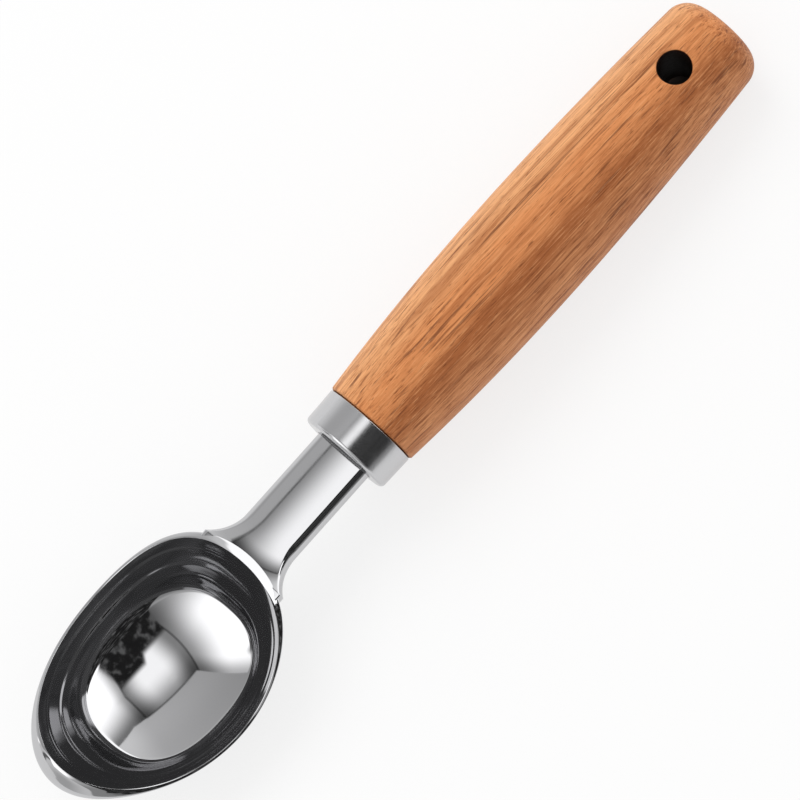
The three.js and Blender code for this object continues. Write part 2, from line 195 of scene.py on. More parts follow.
class StageSettings(bpy.types.PropertyGroup):
    """Camera, floor and light."""

    camera_distance: size("Camera distance", "Camera to the scoop", 1.1)
    camera_roll: angle("Camera roll", "How far the camera stands over to the bowl's right", 12.0)
    axis_turn: angle("Axis turn", "Turn of the scoop's axis in the picture", 48.2)
    pixel: size("Pixel", "Length on the scoop that one of 800 pixels shows", 0.1967 * MM)
    centre_along: share("Centre along", "Pixels from the handle's shoulder to the picture's middle", -37.0)
    centre_across: share("Centre across", "Pixels from the axis to the picture's middle", -5.8)
    floor: colour("Floor", "Pale floor", (0.97, 0.97, 0.97))
    fill: share("Fill", "Level of the light from all round", 0.76)
    key: share("Key", "Level of the key lamp on the floor", 0.26)
    key_width: size("Key width", "Width of the round key lamp", 0.9)
    key_place: FloatVectorProperty(
        name="Key place", description="Where the key lamp stands", default=(-0.25, -0.75, 1.15),
        subtype="TRANSLATION", unit="LENGTH", size=3,
    )
    bright: share("Bright", "Share of plain white in what the camera sees of the floor", 0.74)
    bright_in_steel: share("Bright in steel", "Share of plain white in the floor that steel mirrors", 0.5)


# Mesh and node helpers

NODES_IN_ROW = 12  # of a tree that is laid out on screen
NODE_STEP = (220, -260)  # from one of them to the next, and from row to row


def shoulder():
    """Place in the frame of the handle's shoulder, where the scoop's own axes start."""
    return BUTT + bpy.context.scene.scoop_handle.length * FORWARD


def in_frame(points):
    """Carries points from the scoop's own axes into the frame: the shoulder's place, plus each
    coordinate times its axis."""
    return shoulder() + points @ AXES


def ring_quads(index):
    """Quads between the neighbouring rows of an index table whose columns close on themselves."""
    ahead = np.roll(index, -1, axis=1)
    return np.stack([index[:-1], ahead[:-1], ahead[1:], index[1:]], axis=-1).reshape(-1, 4)


def fan(ring, pole):
    """Triangles from a closed ring of indices to one pole."""
    return np.stack([ring, np.roll(ring, -1), np.full_like(ring, pole)], axis=-1)


def table(rows, columns, start=0):
    """Indices of a grid's points, row by row."""
    return start + np.arange(rows * columns).reshape(rows, columns)


def spaced(*runs):
    """Joins runs of (from, to, steps) into one array, without repeating the shared ends."""
    first = runs[0][0]
    return np.concatenate([[first], *(np.linspace(a, b, n + 1)[1:] for a, b, n in runs)])


def capped(rows, poles):
    """Points, quads and triangles of a stack of rings whose two ends close on poles."""
    index = table(*rows.shape[:2])
    points = np.concatenate([rows.reshape(-1, 3), poles])
    triangles = np.concatenate([fan(index[0], index.size), fan(index[-1], index.size + 1)])
    return points, ring_quads(index), triangles


def new_piece(name, node, shape, material, crease):
    """A closed, smooth-shaded mesh in the frame's place that stands for a CAD node. The shape is its points,
    quads and triangles, and edges sharper than the crease, in degrees, stay sharp."""
    points, quads, triangles = shape
    mesh = bpy.data.meshes.new(name)
    mesh.from_pydata(in_frame(points).tolist(), [], quads.tolist() + triangles.tolist())
    shell = bmesh.new()
    shell.from_mesh(mesh)
    bmesh.ops.recalc_face_normals(shell, faces=shell.faces[:])
    shell.to_mesh(mesh)
    shell.free()
    mesh.shade_smooth()
    mesh.set_sharp_from_angle(angle=math.radians(crease))
    mesh.materials.append(material)
    piece = bpy.data.objects.new(name, mesh)
    bpy.context.scene.collection.objects.link(piece)
    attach(piece, "root")
    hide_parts(node)


class Tree:
    """Short calls for a node tree: a value sets a socket, a socket is linked to it."""

    def __init__(self, tree):
        self.tree = tree
        tree.nodes.clear()

    def add(self, kind, inputs=None, **settings):
        """Adds a node, sets its settings and fills its inputs."""
        made = self.tree.nodes.new(kind)
        row, column = divmod(len(self.tree.nodes), NODES_IN_ROW)
        made.location = (NODE_STEP[0] * column, NODE_STEP[1] * row)
        for key, value in settings.items():
            setattr(made, key, value)
        self.fill(made, inputs or {})
        return made

    def fill(self, node, inputs):
        """Sets a node's inputs to values, or links sockets to them."""
        for key, value in inputs.items():
            if isinstance(value, bpy.types.NodeSocket):
                self.tree.links.new(value, node.inputs[key])
            else:
                node.inputs[key].default_value = value

    def math(self, operation, a, b=0.0, c=0.0, clamp=False):
        """One math node's result."""
        return self.add("ShaderNodeMath", {0: a, 1: b, 2: c}, operation=operation, use_clamp=clamp).outputs[0]

    def chain(self, operation, first, *rest):
        """One operation carried through several values."""
        for value in rest:
            first = self.math(operation, first, value)
        return first

    def product(self, *factors):
        """All the factors multiplied."""
        return self.chain("MULTIPLY", *factors)

    def total(self, *parts):
        """All the parts added up."""
        return self.chain("ADD", *parts)

    def largest(self, *values):
        """The largest of the values."""
        return self.chain("MAXIMUM", *values)

    def line(self, value, slope, start):
        """A straight line: the start plus the slope times the value."""
        return self.math("MULTIPLY_ADD", value, slope, start)

    def apart(self, value, place):
        """How far a value is past a place."""
        return self.math("SUBTRACT", value, place)

    def beyond(self, value, place):
        """How far a value is past a place, and 0 before it."""
        return self.largest(self.apart(value, place), 0.0)

    def near(self, value, place=0.0):
        """How far a value is from a place, on either side."""
        return self.math("ABSOLUTE", self.apart(value, place))

    def length(self, a, b):
        """The root of the sum of two squares."""
        return self.math("SQRT", self.total(self.math("POWER", a, 2.0), self.math("POWER", b, 2.0)))

    def over(self, mask, below, above):
        """One value laid over another by a mask."""
        return self.add("ShaderNodeMix", {0: mask, 2: below, 3: above}).outputs[0]

    def ease(self, value, low, high, start=0.0, end=1.0):
        """A smooth step from start to end as the value goes from low to high."""
        return self.add(
            "ShaderNodeMapRange",
            {0: value, 1: low, 2: high, 3: start, 4: end},
            interpolation_type="SMOOTHSTEP",
        ).outputs[0]

    def mix(self, factor, a, b):
        """One colour mixed over another."""
        a, b = ((*tone, 1.0) if isinstance(tone, tuple) else tone for tone in (a, b))
        return self.add("ShaderNodeMix", {0: factor, 6: a, 7: b}, data_type="RGBA").outputs[2]

    def noise(self, vector, cells, detail=2.0, roughness=0.5, distortion=0.0):
        """Noise whose cells have the given sizes along the three axes."""
        scale = tuple(1 / cell for cell in cells)
        scaled = self.add("ShaderNodeVectorMath", {0: vector, 1: scale}, operation="MULTIPLY")
        return self.add(
            "ShaderNodeTexNoise",
            {"Vector": scaled.outputs[0], "Scale": 1.0, "Detail": detail, "Roughness": roughness,
             "Distortion": distortion},
        ).outputs["Fac"]

    def relief(self, height, strength, depth):
        """The normal of a bumped surface, from a height of about 0 to 1 and its depth."""
        bump = self.add("ShaderNodeBump", {"Strength": strength, "Distance": depth, "Height": height})
        return bump.outputs[0]


def new_group(name, inputs, outputs):
    """An empty node group with named sockets, what its inputs give, and its output node."""
    tree = bpy.data.node_groups.new(name, "ShaderNodeTree")
    for way, sockets in (("INPUT", inputs), ("OUTPUT", outputs)):
        for label, kind in sockets.items():
            tree.interface.new_socket(label, in_out=way, socket_type=kind)
    nodes = Tree(tree)
    return nodes, nodes.add("NodeGroupInput").outputs, nodes.add("NodeGroupOutput")


def new_material(name):
    """A material with a Principled shader, and short calls for its nodes."""
    material = bpy.data.materials.new(name)
    material.use_nodes = True
    nodes = Tree(material.node_tree)
    shader = nodes.add("ShaderNodeBsdfPrincipled")
    nodes.add("ShaderNodeOutputMaterial", {"Surface": shader.outputs["BSDF"]})
    return material, nodes, shader


def scoop_coordinates(nodes):
    """Object coordinates turned into the scoop's own axes, in millimetres."""
    place = AXES @ shoulder()
    return nodes.add(
        "ShaderNodeMapping",
        {
            "Vector": nodes.add("ShaderNodeTexCoord").outputs["Object"],
            "Location": tuple(-place / MM),
            "Rotation": Matrix(AXES.tolist()).to_euler(),
            "Scale": (1 / MM, 1 / MM, 1 / MM),
        },
    ).outputs[0]


# Finishes

LINE_DEPTH = 0.02 * MM  # of the polishing lines
BUBBLE_DEPTH = 0.1 * MM  # of the glue's bubbles
PORE_DEPTH = 0.05 * MM  # of the wood's pores
GRAIN_SLANT = 0.03  # how far the grain runs off sideways for each length along the handle
PITH = (-30.0, -26.0)  # the tree's middle, sideways and high from the handle's axis, in millimetres
GROWTH_STEP = 2.3  # from one growth line to the next, in millimetres


def polish_marks():
    """Group: roughness that varies with fine polishing lines and faint smudges, and the lines' height."""
    if "polish_marks" in bpy.data.node_groups:
        return bpy.data.node_groups["polish_marks"]
    number = "NodeSocketFloat"
    nodes, given, end = new_group(
        "polish_marks",
        {"Vector": "NodeSocketVector", "Roughness": number, "Line spread": number, "Smudge spread": number},
        {"Roughness": number, "Height": number},
    )
    lines = nodes.noise(given["Vector"], (0.9, 0.12, 0.12), 3.0, 0.6)
    smudges = nodes.ease(nodes.noise(given["Vector"], (9.0, 7.0, 7.0), 4.0, 0.6, 0.4), 0.5, 0.72)
    lined = nodes.line(nodes.apart(lines, 0.5), given["Line spread"], given["Roughness"])
    smudged = nodes.math("MULTIPLY_ADD", smudges, given["Smudge spread"], lined, clamp=True)
    nodes.fill(end, {"Roughness": smudged, "Height": lines})
    return nodes.tree


def steel(name, base, roughness, line_spread, smudge_spread, bump):
    """Steel with polishing lines: how rough it is, how far the lines and the smudges change that, and how
    strongly the lines stand out."""
    material, nodes, shader = new_material(name)
    marks = nodes.add(
        "ShaderNodeGroup",
        {"Vector": scoop_coordinates(nodes), "Roughness": roughness, "Line spread": line_spread,
         "Smudge spread": smudge_spread},
        node_tree=polish_marks(),
    ).outputs
    relief = nodes.relief(marks["Height"], bump, LINE_DEPTH)
    nodes.fill(shader, {
        "Base Color": (*base, 1.0), "Metallic": 1.0, "Roughness": marks["Roughness"], "Normal": relief,
    })
    return material


def cured_glue(base):
    """Cloudy cured glue with small bubbles."""
    material, nodes, shader = new_material("cured_glue")
    place = scoop_coordinates(nodes)
    cloud = nodes.ease(nodes.noise(place, (3.0, 3.0, 3.0), 3.0), 0.35, 0.7)
    bubbles = nodes.add("ShaderNodeTexVoronoi", {"Vector": place, "Scale": 1.6}).outputs["Distance"]
    nodes.fill(shader, {
        "Base Color": nodes.mix(cloud, tuple(base), tuple(0.8 * v for v in base)),
        "Roughness": nodes.ease(cloud, 0.0, 1.0, 0.3, 0.5),
        "Normal": nodes.relief(nodes.ease(bubbles, 0.1, 0.3), 0.3, BUBBLE_DEPTH),
    })
    return material


def oiled_wood(tones, hole_x, hole_radius):
    """Oiled hardwood, all drawn out along the handle: a pale side that is painted light where the key lamp
    falls, a brown middle and a tan side that is painted sheen, broad bands, growth lines about a far pith,
    long streaks, fine fibres and short open pores, each laid over those before it by its own mask. The inside
    of the hanging hole is painted near black, as painted shade. Lengths are in millimetres."""
    material, nodes, shader = new_material("oiled_wood")
    along, sideways, high = nodes.add("ShaderNodeSeparateXYZ", {0: scoop_coordinates(nodes)}).outputs
    slanted = nodes.line(along, GRAIN_SLANT, sideways)
    grain = nodes.add("ShaderNodeCombineXYZ", {0: along, 1: slanted, 2: high}).outputs[0]

    wander = nodes.apart(nodes.noise(grain, (60.0, 8.0, 8.0), 3.0, 0.55), 0.5)
    band = nodes.noise(grain, (95.0, 2.6, 2.6), 2.0, 0.5)
    streak = nodes.noise(grain, (64.0, 0.75, 0.75), 2.0, 0.6)
    fibre = nodes.noise(grain, (9.0, 0.36, 0.36), 4.0, 0.7)
    pores = nodes.ease(nodes.noise(grain, (3.4, 0.25, 0.25), 2.0, 0.55), 0.6, 0.72)

    from_pith = nodes.length(nodes.apart(slanted, PITH[0]), nodes.apart(high, PITH[1]))
    growth = nodes.math("FRACT", nodes.math("DIVIDE", nodes.line(wander, 4.0, from_pith), GROWTH_STEP))
    late = nodes.product(nodes.ease(growth, 0.3, 0.88), nodes.ease(growth, 1.0, 0.9), 0.22)
    across = nodes.line(wander, 5.0, sideways)
    middle = nodes.product(nodes.ease(across, 1.5, 5.5, 0.0, 0.85), nodes.ease(across, 11.5, 8.0, 0.4, 1.0))
    dark_fibre = nodes.product(nodes.ease(fibre, 0.5, 0.7, 0.0, 0.5), nodes.ease(across, 0.0, 5.0))
    # Painted shade: the hanging hole's wall is mixed to near black.
    from_hole = nodes.length(nodes.apart(along, hole_x), sideways)
    painted_hole_shade = nodes.ease(from_hole, hole_radius + 0.15, hole_radius + 0.02)

    # The ground starts pale, which is painted light on the side that the key lamp lights; warm wood then
    # leads into the brown middle.
    ground = tuple(tones.pale_wood_and_lit_side)
    for mask, tone in (
        (nodes.ease(across, -8.5, -1.0), tones.warm_wood),
        (middle, tones.brown_wood),
        # Painted sheen on the side away from the key lamp.
        (nodes.ease(across, 4.5, 10.5, 0.0, 0.9), tones.painted_sheen_wood),
        (nodes.ease(band, 0.5, 0.68, 0.0, 0.5), tones.brown_wood),
        (late, tones.brown_wood),
        (nodes.ease(streak, 0.56, 0.7, 0.0, 0.8), tones.dark_wood),
        (nodes.ease(fibre, 0.48, 0.72, 0.0, 0.75), tones.brown_wood),
        (nodes.ease(fibre, 0.5, 0.3, 0.0, 0.45), tones.pale_wood_and_lit_side),
        (dark_fibre, tones.dark_wood),
        (nodes.product(pores, 0.7), tones.dark_wood),
        (painted_hole_shade, [0.1 * v for v in tones.dark_wood]),
    ):
        ground = nodes.mix(mask, ground, tuple(tone))
    height = nodes.line(pores, -1.0, nodes.product(fibre, 0.5))
    nodes.fill(shader, {
        "Base Color": ground,
        "Specular IOR Level": 0.3,
        "Roughness": nodes.line(pores, 0.2, nodes.ease(fibre, 0.3, 0.7, 0.46, 0.6)),
        "Normal": nodes.relief(height, 0.4, PORE_DEPTH),
    })
    return material


def polished_head():
    """The one finish that the bowl and the shank share."""
    if "polished_head" in bpy.data.materials:
        return bpy.data.materials["polished_head"]
    base = bpy.context.scene.scoop_finishes.polished_steel
    return steel("polished_head", base, roughness=0.045, line_spread=0.02, smudge_spread=0.03, bump=0.02)


# Bowl

HEEL_REACH = 0.65  # share of the rows from the floor's middle to the rim that crosses the floor
FLOOR_EASE = 0.15  # how softly the floor's rows come to a stop at the heel
WALL_EASE = 0.4  # how softly the wall's run sets in there
TIP_POWER, NECK_POWER = 12, 8  # how closely the wide lands keep to the tip and the neck
PRESS_STEPS = ((0.46, 1.0), (0.76, 0.5))  # share of the wall's climb at each soft step, and its strength
PRESS_START = 0.05  # share of the climb where the wall starts to lean to the first step
PRESS_RUN = 0.09  # share of the climb that each step takes

# Rows of the mesh as (from, to, steps) of the reach, and the points around it
BOWL_OUTSIDE = ((0.03, 0.55, 30), (0.55, 0.8, 24), (0.8, 1.0, 20))
BOWL_INSIDE = ((1.0, 0.75, 70), (0.75, 0.55, 44), (0.55, 0.03, 36))
RIM_STEPS = 24
BOWL_COLUMNS = 300


def outline_scale(b, turn):
    """One, plus the neck's fullness times the sine squared of the turn, times the fourth power of the
    share towards the neck. The turn is 0 at the tip and pi at the neck."""
    return 1 + b.neck_fullness * np.sin(turn) ** 2 * ((1 - np.cos(turn)) / 2) ** 4


def rim_height(b, turn):
    """A saddle: the sides' height, plus the rise to the raised end times the square of the way along.
    Towards the neck, what that square leaves of one is raised to a power, so the rim stays high there."""
    along = outline_scale(b, turn) * np.cos(turn)
    to_neck = 1 - np.maximum(1 - along**2, 0) ** b.rim_neck_power
    tip_rise, neck_rise = b.rim_tip - b.rim_side, b.rim_neck - b.rim_side
    return b.rim_side + np.where(along > 0, tip_rise * along**2, neck_rise * to_neck)


def soft_max(p, q, blend):
    """The larger of two values, rounded over where they are within the blend of each other: with t as
    their difference over twice the blend plus a half, kept from 0 to 1, it is
    q + (p - q) t + blend t (1 - t)."""
    t = np.clip(0.5 + (p - q) / (2 * blend), 0, 1)
    return q + (p - q) * t + blend * t * (1 - t)


def heel_ring(b, turn):
    """The heel from the floor's middle: a superellipse, its half length and half width times the cosine
    and sine of the turn, over the root of the sum of their powers."""
    n = b.floor_fullness
    scale = (np.abs(np.cos(turn)) ** n + np.abs(np.sin(turn)) ** n) ** (-1 / n)
    return b.floor_length / 2 * scale * np.cos(turn), b.floor_width / 2 * scale * np.sin(turn)


def rim_ring(b, turn):
    """The rim's inner edge from the floor's middle: an ellipse, a little fuller beside the neck."""
    scale = outline_scale(b, turn)
    return b.floor_setback + b.length / 2 * scale * np.cos(turn), b.width / 2 * scale * np.sin(turn)


def floor_middle(b):
    """Place of the floor's middle along the scoop."""
    return b.from_shoulder + b.length / 2 - b.floor_setback


def floor_height(b, x, y):
    """The dished floor: its depth plus the square of the distance from its middle over twice its radius."""
    return b.floor + (x**2 + y**2) / (2 * b.floor_radius)


def wall_share(reach):
    """How far up the wall a reach is: below 0 on the floor, 0 at the heel and 1 at the rim."""
    return (reach - HEEL_REACH) / (1 - HEEL_REACH)


def wall_run(b, up):
    """How far the wall has run from the heel's ring to the rim's: the share climbed, plus the bulge times
    that share times what is left, rounded over at the heel."""
    return soft_max(0.0, up + b.wall_bulge * up * (1 - up), WALL_EASE)


def bowl_inside(b, turn, reach):
    """The cup's inside: in plan, the heel's ring scaled up across the floor, plus the wall's run towards
    the rim's ring; in height, the higher of the dished floor and the climb from the heel to the rim,
    softened where they cross."""
    up = wall_share(reach)
    over = 1 - soft_max(0.0, 1 - reach / HEEL_REACH, FLOOR_EASE)
    out = wall_run(b, up)
    heel_x, heel_y = heel_ring(b, turn)
    rim_x, rim_y = rim_ring(b, turn)
    x = heel_x * over + (rim_x - heel_x) * out
    y = heel_y * over + (rim_y - heel_y) * out
    heel = floor_height(b, heel_x, heel_y)
    z = soft_max(floor_height(b, x, y), heel + (rim_height(b, turn) - heel) * up, b.heel_blend)
    return np.stack(np.broadcast_arrays(floor_middle(b) + x, y, z), axis=-1)


def land_width(b, turn):
    """Width of the rim: the sides' width, plus the tip's and the neck's extra width times high powers of
    the share towards each. Gives those two powers too."""
    tip = ((1 + np.cos(turn)) / 2) ** TIP_POWER
    neck = ((1 - np.cos(turn)) / 2) ** NECK_POWER
    return b.side_land + (b.tip_land - b.side_land) * tip + (b.neck_land - b.side_land) * neck, tip, neck


def outward(b, turn, reach):
    """Unit normals of the cup's inside, pointing out of the bowl: the cross product of the steps around
    it and up it."""
    step = 1e-3
    around = bowl_inside(b, turn + step, reach) - bowl_inside(b, turn - step, reach)
    up = bowl_inside(b, turn, reach + step) - bowl_inside(b, turn, reach - step)
    normal = np.cross(around, up)
    return normal / np.linalg.norm(normal, axis=-1, keepdims=True)


def pressed_inside(b, turn, reach):
    """The cup's inside with the soft steps of its wall: before each step the wall leans in, by the depth
    times the square of the share of the climb since the last, and at the step it goes back along a smooth
    s-curve."""
    up = wall_share(reach)
    lean = np.zeros_like(up)
    start = PRESS_START
    for place, strength in PRESS_STEPS:
        climb = np.clip((up - start) / (place - start), 0, 1)
        back = np.clip((up - place) / PRESS_RUN + 0.5, 0, 1)
        lean = lean + strength * climb**2 * (1 - back**2 * (3 - 2 * back))
        start = place
    return bowl_inside(b, turn, reach) - outward(b, turn, reach) * (b.press_step * lean)[..., None]


def bowl_outside(b, turn, reach):
    """The cup's outside: the inside moved out along its normal by the wall's thickness, which runs out
    to the rim's land with the square of the wall share, and dropped at the bevelled tip and neck."""
    normal = outward(b, turn, reach)
    land, tip, neck = land_width(b, turn)
    near_rim = np.clip(wall_share(reach), 0, 1) ** 2
    thickness = b.wall + (land - b.wall) * near_rim
    points = bowl_inside(b, turn, reach) + normal * thickness[..., None]
    points[..., 2] -= (b.tip_drop * tip + b.neck_drop * neck) * near_rim
    return points


def bowl_rim(b, turn, steps):
    """The rim's top: a straight run from the outer to the inner edge, raised square to itself by the
    crown's share of the land times one minus the fourth power of the distance from its middle. The crown
    fades out at the neck."""
    inner = bowl_inside(b, turn, np.ones((1, 1)))
    outer = bowl_outside(b, turn, np.ones((1, 1)))
    around = np.roll(inner, -1, axis=1) - np.roll(inner, 1, axis=1)
    normal = np.cross(outer - inner, around)
    normal /= np.linalg.norm(normal, axis=-1, keepdims=True)
    way = (1 - np.cos(np.linspace(0, math.pi, steps + 1)[1:-1])) / 2
    way = way[:, None, None]
    land, _, neck = land_width(b, turn)
    crown = (b.rim_crown * land * (1 - neck))[..., None]
    return outer + (inner - outer) * way + normal * crown * (1 - (2 * way - 1) ** 4)


class SCOOP_OT_bowl(bpy.types.Operator):
    """Make the polished bowl: outside, rounded rim and inside in one closed surface"""

    bl_idname = "scoop.bowl"
    bl_label = "Bowl"

    def execute(self, context):
        b = context.scene.scoop_bowl
        turn = np.linspace(0, 2 * math.pi, BOWL_COLUMNS, endpoint=False)[None, :]
        rows = np.concatenate([
            bowl_outside(b, turn, spaced(*BOWL_OUTSIDE)[:, None]),
            bowl_rim(b, turn, RIM_STEPS),
            pressed_inside(b, turn, spaced(*BOWL_INSIDE)[:, None]),
        ])
        poles = np.array([[floor_middle(b), 0, b.floor - b.wall], [floor_middle(b), 0, b.floor]])
        shape = capped(rows, poles)
        new_piece("polished_bowl", "bowl", shape, polished_head(), crease=80.0)
        return {"FINISHED"}


# Shank

# Points around the neck: each upper corner, the top and the belly; and its rows as (from, to, steps)
CORNER_STEPS, TOP_STEPS, BELLY_STEPS = 24, 44, 72
NECK_ROWS = ((0.0, 0.5, 20), (0.5, 1.0, 110))
WALL_DEPTH = 0.5  # share of the bowl's wall that the neck runs into
HALVINGS = 40  # of the search for where the neck meets the wall
BEARING_STEPS = 6  # of the search for the wall's turn at a point's bearing


def arc_rise(radius, run):
    """How far an arc has left its tangent after a run along it."""
    return radius - np.sqrt(radius**2 - run**2)


def neck_section(k, x, shoulder_to_bowl, grow=0.0):
    """Half width, top half width, top edges' height, waist height and depth of the neck at x: each
    is its straight value plus the rise of its arc, or its change along the flare or the keel."""
    flare = np.clip(x - (shoulder_to_bowl - k.flare_length), 0, k.flare_length)
    spread = np.clip(x - (shoulder_to_bowl - k.top_length), 0, k.top_length)
    keel = np.clip(x - (shoulder_to_bowl - k.keel_length), 0, k.keel_length + k.keel_reach)
    way = flare / k.flare_length
    run = way**2 * (3 - 2 * way)
    half = k.half_width + arc_rise(k.flare_radius, flare) + grow
    top = k.top_half_width + arc_rise(k.top_radius, spread)
    top_z = k.top_height + k.top_sweep * way**2 + grow
    depth = k.belly + arc_rise(k.keel_radius, keel) + grow
    return half, top, top_z, k.waist + k.waist_rise * run, depth


def neck_ring(k, x, shoulder_to_bowl, grow=0.0):
    """Points around the neck at x, seen from the bowl, one x for all or one for each column: a parabola
    over the top that runs out past its edges, there scaled down to the widest line by a quarter of an
    ellipse, and half an ellipse below."""
    half, top, top_z, waist, depth = neck_section(k, x, shoulder_to_bowl, grow)
    corner = np.linspace(0, math.pi / 2, CORNER_STEPS, endpoint=False)
    over = np.linspace(1, -1, TOP_STEPS, endpoint=False)
    below = np.linspace(0, math.pi, BELLY_STEPS, endpoint=False)
    of_half = np.concatenate([np.cos(corner), 0 * over, -np.sin(corner), -np.cos(below)])
    of_top = np.concatenate([1 - np.cos(corner), over, np.sin(corner) - 1, 0 * below])
    of_rise = np.concatenate([np.sin(corner), 1 + 0 * over, np.cos(corner), 0 * below])
    of_depth = np.concatenate([0 * corner, 0 * over, 0 * corner, np.sin(below)])
    y = half * of_half + top * of_top
    crowned = top_z + k.crown * (1 - (y / top) ** 2)
    z = waist + (crowned - waist) * of_rise - depth * of_depth
    return np.stack(np.broadcast_arrays(x, y, z), axis=-1)


def past_bowl_wall(b, points, depth):
    """How far points are outside a surface inside the bowl's wall: their distance from the floor's middle
    in plan, less that of the wall at their height and turn, and less the depth into the wall. The wall's
    turn is not quite the points' bearing, so it is found by a few corrections."""
    x = points[..., 0] - floor_middle(b)
    y = points[..., 1]
    turn = np.arctan2(y / b.width, x / b.length)
    for _ in range(BEARING_STEPS):
        heel_x, heel_y = heel_ring(b, turn)
        rim_x, rim_y = rim_ring(b, turn)
        heel = floor_height(b, heel_x, heel_y)
        run = wall_run(b, (points[..., 2] - heel) / (rim_height(b, turn) - heel))
        wall_x, wall_y = heel_x + (rim_x - heel_x) * run, heel_y + (rim_y - heel_y) * run
        turn = turn + np.arctan2(y, x) - np.arctan2(wall_y, wall_x)
    return np.hypot(x, y) - np.hypot(wall_x, wall_y) - depth


class SCOOP_OT_shank(bpy.types.Operator):
    """Make the polished shank: the neck and its flare, run a little way into the bowl's wall"""

    bl_idname = "scoop.shank"
    bl_label = "Shank"

    def execute(self, context):
        k, b = context.scene.scoop_shank, context.scene.scoop_bowl
        columns = neck_ring(k, np.array([[k.rear]]), b.from_shoulder).shape[1]
        near = np.full((1, columns), b.from_shoulder - k.keel_length)
        far = np.full((1, columns), b.from_shoulder + 2 * k.keel_reach)
        for _ in range(HALVINGS):
            middle = (near + far) / 2
            ring = neck_ring(k, middle, b.from_shoulder)
            outside = past_bowl_wall(b, ring, WALL_DEPTH * b.wall) > 0
            near, far = np.where(outside, middle, near), np.where(outside, far, middle)
        way = spaced(*NECK_ROWS)[:, None]
        rows = neck_ring(k, k.rear + (near - k.rear) * way, b.from_shoulder)
        ends = np.array([[k.rear, 0, 0], [b.from_shoulder - k.flare_length, 0, k.waist]])
        shape = capped(rows, ends)
        new_piece("polished_shank", "shank", shape, polished_head(), crease=60.0)
        return {"FINISHED"}


# Ferrule

FERRULE_COLUMNS = 320
SIDE_STEPS, FACE_STEPS, OPENING_STEPS = 25, 12, 6
SMALL_STEPS, FINE_STEPS = 8, 20  # of a small rounding and of a wide one


def corner_arc(x, r, radius, start, end, steps):
    """A rounding about a corner's centre: the centre plus the radius times the cosine and sine of the arc,
    which goes from the start to the end in degrees."""
    arc = np.radians(np.linspace(start, end, steps + 1))
    return np.stack([x + radius * np.cos(arc), r + radius * np.sin(arc)], axis=-1)


class SCOOP_OT_ferrule(bpy.types.Operator):
    """Make the ferrule: a turned cap whose front wall runs in to an opening in the neck's shape"""

    bl_idname = "scoop.ferrule"
    bl_label = "Ferrule"

    def execute(self, context):
        f, k, b = context.scene.scoop_ferrule, context.scene.scoop_shank, context.scene.scoop_bowl
        turn = np.linspace(-math.pi, math.pi, FERRULE_COLUMNS, endpoint=False)
        edge = neck_ring(k, np.array([[k.rear]]), b.from_shoulder, f.opening_gap)[0]
        bearing = np.arctan2(edge[:, 2], edge[:, 1])
        order = np.argsort(bearing)
        distance = np.hypot(edge[:, 1], edge[:, 2])
        opening = np.interp(turn, bearing[order], distance[order], period=2 * math.pi)

        # Places along the axis and radii: outside, front face, the opening's rounded edge, and inside
        face_edge = f.front_radius - f.edge_round
        rear_corner = corner_arc(
            f.rear + f.rear_round, f.rear_radius - f.rear_round, f.rear_round, 180, 90, SMALL_STEPS
        )
        front_corner = corner_arc(f.front - f.edge_round, face_edge, f.edge_round, 90, 0, FINE_STEPS)
        side = np.linspace(rear_corner[-1], front_corner[0], SIDE_STEPS + 1)[1:-1]
        outside = np.concatenate([[[f.rear, f.inner_radius]], rear_corner, side, front_corner])
        way = np.linspace(0, 1, FACE_STEPS + 1)[1:]
        arc = np.linspace(0, math.pi / 2, OPENING_STEPS + 1)[1:]
        back = f.front - f.plate
        x = np.concatenate([
            outside[:, 0],
            np.full_like(way, f.front),
            f.front - f.opening_round * (1 - np.cos(arc)),
            [back, back],
        ])
        r = np.concatenate([
            np.repeat(outside[:, 1:], FERRULE_COLUMNS, axis=1),
            face_edge + (opening + f.opening_round - face_edge) * way[:, None],
            opening + f.opening_round * (1 - np.sin(arc))[:, None],
            [opening, np.full_like(opening, f.inner_radius)],
        ])
        rows = np.stack(np.broadcast_arrays(x[:, None], r * np.cos(turn), r * np.sin(turn)), axis=-1)
        index = table(*r.shape)
        closed = np.concatenate([index, index[:1]])
        shape = rows.reshape(-1, 3), ring_quads(closed), np.empty((0, 3), int)
        finish = steel(
            "fine_ferrule", context.scene.scoop_finishes.ferrule_steel,
            roughness=0.2, line_spread=0.08, smudge_spread=0.05, bump=0.05,
        )
        new_piece("steel_ferrule", "ferrule", shape, finish, crease=50.0)
        return {"FINISHED"}


# Handle

HANDLE_COLUMNS = 192
BUTT_RINGS = 8
FIRST_RING = 0.1  # share of the butt's flat at the first of them
TAIL_STEPS, SWELL_STEPS, FRONT_STEPS = 4, 44, 56

# The mesh's window around each mouth of the hanging hole: wood beside the hole, steps along it, columns on
# each side of its middle, and steps of the wood in it, the hole's rounded edge and its wall
WINDOW_MARGIN = 1.8 * MM
WINDOW_STEPS = 20
WINDOW_HALF = 15
SKIN_STEPS, EDGE_STEPS, DRILLED_STEPS = 10, 8, 24


def turned_radius(h, back):
    """Radius of the turned wood at a distance back from the shoulder: the belly's radius, less a power
    of the way to the shoulder in front of the belly, and a power of the way to the tail behind it."""
    before = np.clip(1 - back / h.belly_place, 0, 1)
    past = np.clip((back - h.belly_place) / (h.length - h.butt_round - h.belly_place), 0, 1)
    return (
        h.belly_radius
        - (h.belly_radius - h.shoulder_radius) * before**h.belly_power
        - (h.belly_radius - h.tail_radius) * past**h.tail_power
    )


